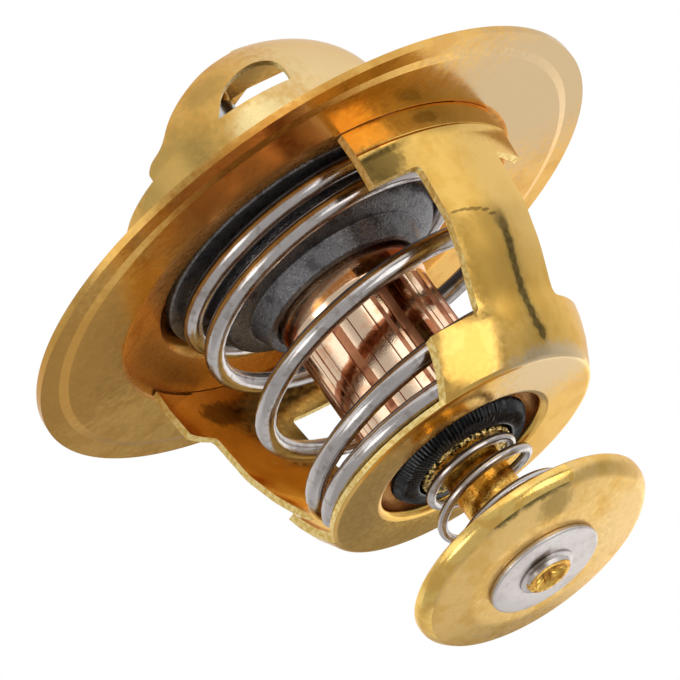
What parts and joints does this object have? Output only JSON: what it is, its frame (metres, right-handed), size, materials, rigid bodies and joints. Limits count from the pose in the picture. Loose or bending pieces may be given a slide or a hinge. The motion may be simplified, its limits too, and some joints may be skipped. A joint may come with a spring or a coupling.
{
  "type": "coolant thermostat",
  "caption": "Engine coolant thermostat: domed round flange, two-legged frame, wax element, main valve with coil spring and a sprung bypass disc.",
  "frame": {"origin": "centre of the flange, on the rim face that looks toward the bypass valve", "axes": "+Z along the axis toward the bypass valve; +X through one leg of the frame"},
  "size_m": [0.064, 0.064, 0.0618],
  "materials": {
    "brass_sheet": "polished",
    "guide_brass": "turned",
    "rough_brass": "rough",
    "copper": "polished copper",
    "spring_steel": "bright drawn wire",
    "piston_steel": "ground",
    "plated_steel": "plated",
    "valve_metal": "grainy dark grey",
    "seal_rubber": "moulded",
    "black_ring": "fine radial ribs",
    "white_plastic": "plain",
    "wax": "copper-filled wax"
  },
  "bodies": {
    "housing": {"flange_dome": "brass_sheet", "frame": "brass_sheet", "piston": "piston_steel", "main_spring": "spring_steel"},
    "element": {"main_valve": "valve_metal", "valve_seal": "seal_rubber", "capsule": "copper", "wax_charge": "wax", "rubber_boot": "seal_rubber", "backup_washer": "white_plastic", "piston_guide": "guide_brass", "guide_seal": "seal_rubber", "end_ring": "black_ring", "spring_seat": "rough_brass", "bypass_stem": "guide_brass", "stop_washer": "plated_steel", "bypass_spring": "spring_steel"},
    "bypass": {"bypass_disc": "brass_sheet"}
  },
  "joints": [
    {"name": "main_valve_lift", "type": "slide", "parent": "housing", "child": "element", "axis": [0, 0, 1], "range_m": [0, 0.0085], "stiffness_N_per_m": 900, "springref_m": -0.06, "deforming": ["main_spring"]},
    {"name": "bypass_disc_yield", "type": "slide", "parent": "element", "child": "bypass", "axis": [0, 0, -1], "range_m": [0, 0.0045], "stiffness_N_per_m": 1800, "springref_m": -0.004, "deforming": ["bypass_spring"]}
  ]
}
